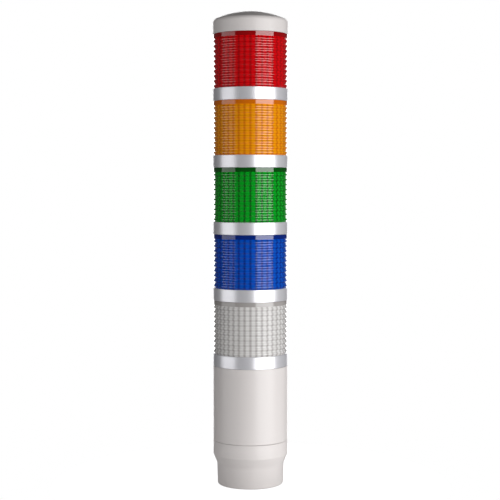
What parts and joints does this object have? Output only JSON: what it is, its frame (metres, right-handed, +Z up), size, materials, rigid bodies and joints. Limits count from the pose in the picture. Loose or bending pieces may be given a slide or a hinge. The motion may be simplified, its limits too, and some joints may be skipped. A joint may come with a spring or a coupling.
{
  "type": "stack light",
  "caption": "Slim signal tower: coloured ribbed light tiers between silver rings, on a pale body and direct-mount foot, each piece twist-locked to the one below.",
  "frame": {"origin": "centre of the foot's flat underside", "axes": "+Z up along the column, -Y towards the side seen first"},
  "size_m": [0.06, 0.06, 0.3793],
  "materials": {
    "housing_plastic": "fine satin moulded off-white",
    "ring_metallised": "satin metallised plastic",
    "carrier_plastic": "natural translucent moulding",
    "plug_plastic": "black connector moulding",
    "board_white": "white solder mask",
    "board_green": "green solder mask",
    "contact_metal": "gold-flashed contact",
    "screw_steel": "zinc plated",
    "seal_rubber": "soft black rubber",
    "terminal_plastic": "moulded terminal strip",
    "component_black": "component sleeve",
    "led_package": "white package with resin dome",
    "lens_clear": "clear transparent plastic, ridged outside and fluted inside",
    "lens_blue": "blue transparent plastic, ridged outside and fluted inside",
    "lens_green": "green transparent plastic, ridged outside and fluted inside",
    "lens_amber": "amber transparent plastic, ridged outside and fluted inside",
    "lens_red": "red transparent plastic, ridged outside and fluted inside"
  },
  "bodies": {
    "base": {"base_mount": "housing_plastic", "seal_base": "seal_rubber"},
    "body": {"body_shell": "housing_plastic", "seal_body": "seal_rubber", "contact_disc_body": "board_green", "riser_pins": "contact_metal", "driver_board": "board_green", "driver_screws": "screw_steel", "driver_parts": "component_black", "terminal_block": "terminal_plastic", "terminal_screws": "screw_steel"},
    "tier_clear": {"ring_clear": "ring_metallised", "carrier_clear": "carrier_plastic", "lens_clear": "lens_clear", "board_plug_clear": "plug_plastic", "led_board_clear": "board_white", "leds_clear": "led_package", "contact_disc_clear": "board_green", "contact_pins_clear": "contact_metal", "seal_clear": "seal_rubber"},
    "tier_blue": {"ring_blue": "ring_metallised", "carrier_blue": "carrier_plastic", "lens_blue": "lens_blue", "board_plug_blue": "plug_plastic", "led_board_blue": "board_white", "leds_blue": "led_package", "contact_disc_blue": "board_green", "contact_pins_blue": "contact_metal", "seal_blue": "seal_rubber"},
    "tier_green": {"ring_green": "ring_metallised", "carrier_green": "carrier_plastic", "lens_green": "lens_green", "board_plug_green": "plug_plastic", "led_board_green": "board_white", "leds_green": "led_package", "contact_disc_green": "board_green", "contact_pins_green": "contact_metal", "seal_green": "seal_rubber"},
    "tier_amber": {"ring_amber": "ring_metallised", "carrier_amber": "carrier_plastic", "lens_amber": "lens_amber", "board_plug_amber": "plug_plastic", "led_board_amber": "board_white", "leds_amber": "led_package", "contact_disc_amber": "board_green", "contact_pins_amber": "contact_metal", "seal_amber": "seal_rubber"},
    "tier_red": {"ring_red": "ring_metallised", "carrier_red": "carrier_plastic", "lens_red": "lens_red", "board_plug_red": "plug_plastic", "led_board_red": "board_white", "leds_red": "led_package", "contact_disc_red": "board_green", "contact_pins_red": "contact_metal", "seal_red": "seal_rubber"},
    "cap": {"head_cap": "housing_plastic"}
  },
  "joints": [
    {"name": "body_twist", "type": "hinge", "parent": "base", "child": "body", "pos_m": [0, 0, 0.0358], "axis": [0, 0, 1], "range_deg": [0, 20]},
    {"name": "tier_clear_twist", "type": "hinge", "parent": "body", "child": "tier_clear", "pos_m": [0, 0, 0.096], "axis": [0, 0, 1], "range_deg": [0, 20]},
    {"name": "tier_blue_twist", "type": "hinge", "parent": "tier_clear", "child": "tier_blue", "pos_m": [0, 0, 0.149], "axis": [0, 0, 1], "range_deg": [0, 20]},
    {"name": "tier_green_twist", "type": "hinge", "parent": "tier_blue", "child": "tier_green", "pos_m": [0, 0, 0.202], "axis": [0, 0, 1], "range_deg": [0, 20]},
    {"name": "tier_amber_twist", "type": "hinge", "parent": "tier_green", "child": "tier_amber", "pos_m": [0, 0, 0.255], "axis": [0, 0, 1], "range_deg": [0, 20]},
    {"name": "tier_red_twist", "type": "hinge", "parent": "tier_amber", "child": "tier_red", "pos_m": [0, 0, 0.308], "axis": [0, 0, 1], "range_deg": [0, 20]},
    {"name": "cap_twist", "type": "hinge", "parent": "tier_red", "child": "cap", "pos_m": [0, 0, 0.361], "axis": [0, 0, 1], "range_deg": [0, 20]}
  ]
}
